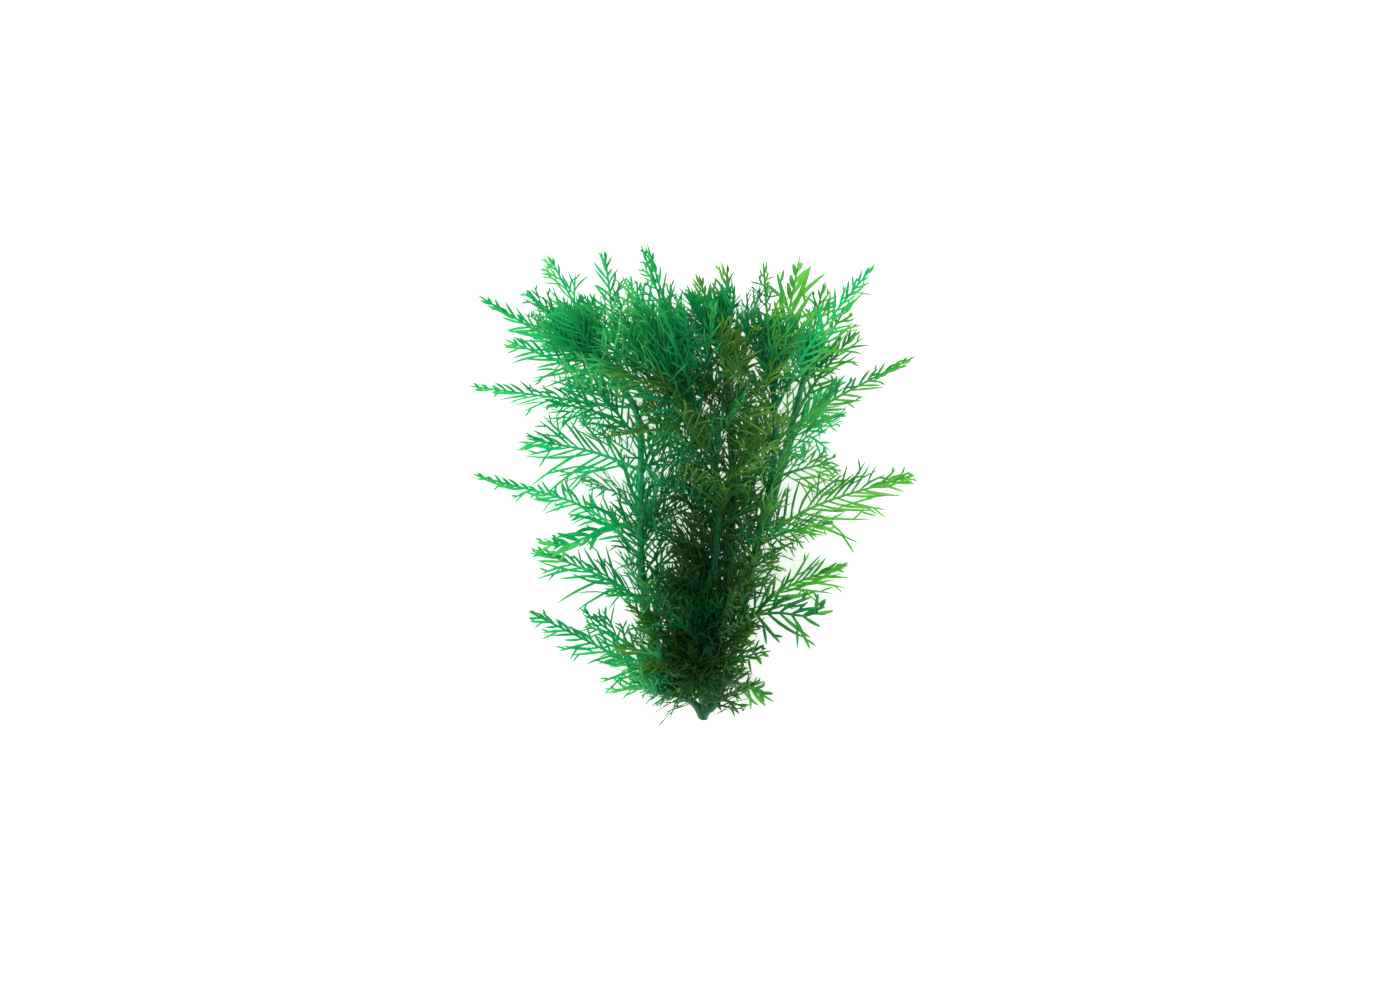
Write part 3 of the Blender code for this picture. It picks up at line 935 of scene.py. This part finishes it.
for number, (node, (stem_name, _)) in enumerate(leaf_roots.items()):
    luck = random.Random(LEAF_SEED + number)
    line, half_width, curl = read_leaf(node)
    cut = luck.choice(RIGHT_CUTS if "right" in node else LEFT_CUTS)
    width = LEAF_WIDTHS.get(node, USUAL_WIDTH)
    oldest = OLDEST_TONE
    if node in FEATHERY_LEAVES:
        cut = NEEDLE_CUT
        width = NARROW_WIDTH
    if node in BROAD_LEAVES:
        cut = BROAD_CUT
        width = NARROW_WIDTH
        oldest = BROAD_TONE
    blade = cut_blade(line.length, half_width * width, cut, luck, brighter_side(line))
    mesh = Mesh()
    thicken(mesh, blade, line.bend(blade, curl), luck.uniform(FRESHEST_TONE, oldest))
    finish = LEFT_FINISH if node in BLUE_LEAVES else LEAF_FINISH[stem_name]
    mesh.make(f"{node}_finished", *finish, node)


# The growing tips. At the top of each stem is a bud, wrapped in pairs of young leaves that are still short
# and soft, bent inwards and crowded together, each pair about square to the one before. The youngest are the
# shortest and stand the closest.
TIP_PAIRS = 8
YOUNG_LENGTHS = (13, 37)    # of the youngest and the oldest pair, in mm, as are the half widths
YOUNG_HALF_WIDTHS = (5.5, 10.5)
YOUNG_OPENINGS = (8, 46)    # in degrees
PAIR_TURN = math.radians(97)
PAIR_GAP = 1.4 * MM
BUD_RADIUS = 0.6 * MM
YOUNG_CURL = 6
YOUNG_ARCH = 0.35
YOUNG_TURN_SPREAD = 0.3
YOUNG_OPENING_SPREAD = 0.1
YOUNG_LENGTH_SPREAD = (0.88, 1.1)
YOUNG_TONE_SPREAD = 0.3
YOUNG_CUT = Cut(blade=0.62 * MM, lobe=0.48 * MM, pitch=3.6 * MM, lobes=1, lobed=0.25, bare=0.30, point=0.70,
                lift=0.45, angles=(38, 18), taper=0.55)

# How deep each tip's green is, from 0 to 1, and its size.
TIPS = {"left_shoot": (0.10, 1.0), "centre_shoot": (0.35, 1.35), "main_stem": (0.80, 1.1),
        "right_shoot": (0.95, 1.0), "far_right_shoot": (0.70, 0.72), "low_shoot": (0.90, 1.0)}
ARCH_STEPS = 24
TIP_SEED = 11


def arching_line(start, heading, inward, length, arch, face):
    """A line that leaves along heading and bends over by arch, in radians, towards inward."""
    points = [start]
    place = start
    for step in range(ARCH_STEPS):
        angle = arch * (step / ARCH_STEPS) ** 0.8
        place = place + unit(heading * math.cos(angle) + inward * math.sin(angle)) * length / ARCH_STEPS
        points.append(place)
    return LeafLine(np.array(points), face)


young_leaf = leaf_material("young_leaf", bright=(0.002, 0.520, 0.160), deep=(0.000, 0.270, 0.090),
                           shaded=(0.001, 0.100, 0.026), pale_end=(0.060, 0.600, 0.150))

luck = random.Random(TIP_SEED)
for name, stem in stems.items():
    mesh = Mesh()
    tone, size = TIPS[name]
    top, axis = stem.places[-1], stem.directions[-1]
    right, front = right_and_front(axis)
    for pair in range(TIP_PAIRS):
        share = pair / (TIP_PAIRS - 1)
        length = between(YOUNG_LENGTHS, share) * size * MM
        for half_turn in (0, math.pi):
            turn = pair * PAIR_TURN + half_turn + luck.uniform(-YOUNG_TURN_SPREAD, YOUNG_TURN_SPREAD)
            out = right * math.cos(turn) + front * math.sin(turn)
            opening = math.radians(between(YOUNG_OPENINGS, share))
            opening += luck.uniform(-YOUNG_OPENING_SPREAD, YOUNG_OPENING_SPREAD)
            heading = axis * math.cos(opening) + out * math.sin(opening)
            start = top - axis * PAIR_GAP * pair + out * BUD_RADIUS
            face = unit(axis * math.sin(opening) - out * math.cos(opening))
            grown = length * luck.uniform(*YOUNG_LENGTH_SPREAD)
            line = arching_line(start, heading, -out, grown, YOUNG_ARCH, face)
            half_width = between(YOUNG_HALF_WIDTHS, share) * size * MM
            blade = cut_blade(line.length, half_width, YOUNG_CUT, luck)
            leaf_tone = tone + luck.uniform(-YOUNG_TONE_SPREAD, YOUNG_TONE_SPREAD)
            thicken(mesh, blade, line.bend(blade, YOUNG_CURL), leaf_tone)
    node = name.replace("_stem", "").replace("_shoot", "") + "_growing_tip"
    mesh.make(f"{node}_finished", young_leaf, "young_leaf", node)


# The small leaves in the clump. Shorter leaves grow out of the stems between the large ones, the older ones a
# deeper green and those in the clump darker and olive, partly their own colour and partly painted shade: each
# is the smaller one of a pair or comes from a bud in a leaf's axil. They are crowded round the foot and under
# the growing tips.
SMALL_CUT = Cut(blade=0.62 * MM, lobe=0.52 * MM, pitch=5.2 * MM, lobes=1, lobed=0.50, bare=0.30, point=0.70,
                lift=0.45, angles=(48, 22), taper=0.55)
SMALL_CURL = 6
SMALL_ARCH = (-0.2, 0.6)
SMALL_WIDTH = (0.22, 0.30)
SMALL_TONE = (-0.2, 1.2)
TURNED_TO_THE_FRONT = (0.2, 1.4)
CLUMP_FOOT = -0.12
CLUMP_LENGTH = 0.24
CLUMP_REACH = 0.104
CLUMP_DEPTHS = (0.004, 0.098)
ATTEMPTS = 80
SHORTENING = 200
SMALL_SEED = 12


class Growth(NamedTuple):
    """One group of small leaves on one stem."""

    stem: str
    group: str
    amount: int
    shares: tuple                # the shares of the stem's length between which they grow
    lengths: tuple               # the shortest and the longest, in mm
    openings: tuple              # how far they open from the stem, in radians
    finish: tuple
    region: tuple = (-1, 1, -1)  # the least and the greatest X of their tips and the least Y, in metres


SMALL_LEAVES = [
    Growth("main_stem", "inner", 42, (0.03, 0.96), (30, 60), (0.50, 1.25), DARK_FINISH),
    Growth("left_shoot", "inner", 50, (0.03, 0.98), (30, 60), (0.50, 1.25), LEFT_FINISH),
    Growth("centre_shoot", "inner", 40, (0.03, 0.98), (30, 60), (0.50, 1.25), DARK_FINISH),
    Growth("right_shoot", "inner", 29, (0.03, 0.86), (30, 60), (0.50, 1.25), RIGHT_FINISH),
    Growth("far_right_shoot", "inner", 5, (0.03, 0.60), (30, 60), (0.50, 1.25), RIGHT_FINISH),
    Growth("low_shoot", "inner", 20, (0.03, 0.96), (30, 60), (0.50, 1.25), DARK_FINISH),
    Growth("left_shoot", "crown", 7, (0.88, 0.99), (30, 50), (0.05, 1.00), LEFT_FINISH,
           (-0.092, -0.062, 0.076)),
    Growth("centre_shoot", "crown", 9, (0.88, 0.99), (40, 70), (0.05, 1.00), LEFT_FINISH,
           (-0.056, -0.026, 0.076)),
    Growth("main_stem", "foot", 13, (0.02, 0.16), (18, 38), (0.90, 1.40), DARK_FINISH, (-0.014, 0.040, -1)),
    Growth("left_shoot", "foot", 18, (0.03, 0.15), (28, 48), (0.90, 1.40), LEFT_FINISH, (-0.048, 0.000, -1)),
    Growth("centre_shoot", "middle", 14, (0.16, 0.50), (28, 48), (0.60, 1.20), DARK_FINISH,
           (-0.032, 0.000, -0.050)),
    Growth("right_shoot", "middle", 9, (0.84, 0.98), (18, 38), (0.20, 1.20), LEFT_FINISH,
           (0.022, 0.052, 0.056)),
]


def in_the_clump(place):
    """Whether a small leaf's tip may be there: between the large leaves, and within the clump's depth."""
    height = max(0, (place[1] - CLUMP_FOOT) / CLUMP_LENGTH)
    left = -0.044 - 0.060 * height ** 2.5
    right = 0.034 + 0.080 * height - 0.075 * height ** 2
    return (left < place[0] < right and CLUMP_DEPTHS[0] < place[2] < CLUMP_DEPTHS[1]
            and abs(place[1]) < CLUMP_REACH)


def grow_small_leaves(growth):
    """A piece with one group of small leaves. Two in three grow out of the upper side of the stem, and a leaf
    for which no place is found is left out."""
    stem = stems[growth.stem]
    least_x, greatest_x, least_y = growth.region
    mesh = Mesh()
    for number in range(growth.amount):
        share = growth.shares[0] + (growth.shares[1] - growth.shares[0]) * (number + 0.5) / growth.amount
        step = int(share * (len(stem.places) - 1))
        axis = stem.directions[step]
        right, front = right_and_front(axis)
        for attempt in range(ATTEMPTS):
            turn = luck.uniform(0, math.pi) if number % 3 else luck.uniform(math.pi, 2 * math.pi)
            out = right * math.cos(turn) + front * math.sin(turn)
            opening = luck.uniform(*growth.openings)
            length = luck.uniform(*growth.lengths) * MM * (1 - attempt / SHORTENING)
            heading = axis * math.cos(opening) + out * math.sin(opening)
            tip = stem.places[step] + heading * length
            if in_the_clump(tip) and least_x < tip[0] < greatest_x and tip[1] > least_y:
                break
        else:
            continue
        face = axis * math.sin(opening) - out * math.cos(opening)
        face = unit(face + FRONT * luck.uniform(*TURNED_TO_THE_FRONT))
        line = arching_line(stem.places[step], heading, out, length, luck.uniform(*SMALL_ARCH), face)
        half_width = length * luck.uniform(*SMALL_WIDTH)
        blade = cut_blade(line.length, half_width, SMALL_CUT, luck, brighter_side(line))
        thicken(mesh, blade, line.bend(blade, SMALL_CURL), luck.uniform(*SMALL_TONE))
    mesh.make(f"{growth.stem}_{growth.group}_leaves", *growth.finish)


luck = random.Random(SMALL_SEED)
for growth in SMALL_LEAVES:
    grow_small_leaves(growth)


# The floor, the light and the camera. A plain pale surface, one large soft light above with even light all
# round, and the camera straight above the plant, which lies on its back.
FLOOR_REACH = 4
FLOOR_LIGHT = 1.3
FLOOR_AS_SEEN = 0.45
WORLD_LIGHT = 1.05
WORLD_AS_SEEN = 1.0
WHITE = (1, 1, 1, 1)

floor_mesh = bpy.data.meshes.new("floor")
floor_corners = [(FLOOR_REACH * x, FLOOR_REACH * y, 0) for x, y in ((-1, -1), (1, -1), (1, 1), (-1, 1))]
floor_mesh.from_pydata(floor_corners, [], [(0, 1, 2, 3)])
floor = bpy.data.objects.new("floor", floor_mesh)
bpy.context.scene.collection.objects.link(floor)
floor_material = bpy.data.materials.new("pale_floor")
floor_material.use_nodes = True
floor_shader = floor_material.node_tree.nodes["Principled BSDF"]
floor_shader.inputs["Base Color"].default_value = (0.90, 0.90, 0.90, 1)
floor_shader.inputs["Roughness"].default_value = 0.9
floor_shader.inputs["Specular IOR Level"].default_value = 0.1
floor_shader.inputs["Emission Color"].default_value = WHITE
seen = add_node(floor_material.node_tree, "ShaderNodeLightPath").outputs["Is Camera Ray"]
floor_glow = ranged(floor_material.node_tree, seen, 0, 1, FLOOR_LIGHT, FLOOR_AS_SEEN)
join_up(floor_material.node_tree, floor_glow, floor_shader.inputs["Emission Strength"])
floor_mesh.materials.append(floor_material)

world = bpy.data.worlds.new("studio")
world.use_nodes = True
backdrop = world.node_tree.nodes["Background"]
backdrop.inputs["Color"].default_value = WHITE
seen = add_node(world.node_tree, "ShaderNodeLightPath").outputs["Is Camera Ray"]
backdrop_glow = ranged(world.node_tree, seen, 0, 1, WORLD_LIGHT, WORLD_AS_SEEN)
join_up(world.node_tree, backdrop_glow, backdrop.inputs["Strength"])
bpy.context.scene.world = world

softbox = bpy.data.lights.new("softbox", "AREA")
softbox.shape = "RECTANGLE"
softbox.size = 1.6
softbox.size_y = 1.2
softbox.energy = 20
softbox_place = bpy.data.objects.new("softbox", softbox)
softbox_place.location = (-0.9, 0.7, 1.9)
softbox_place.rotation_euler = (-softbox_place.location).to_track_quat("-Z", "Y").to_euler()
bpy.context.scene.collection.objects.link(softbox_place)

camera_data = bpy.data.cameras.new("camera")
camera_data.lens = 85
camera_data.clip_start = 0.05
camera_data.clip_end = 30
camera = bpy.data.objects.new("camera", camera_data)
camera.location = (4.5 * MM, -7.5 * MM, 1.69)
bpy.context.scene.collection.objects.link(camera)
bpy.context.scene.camera = camera
bpy.context.scene.view_settings.view_transform = "Standard"
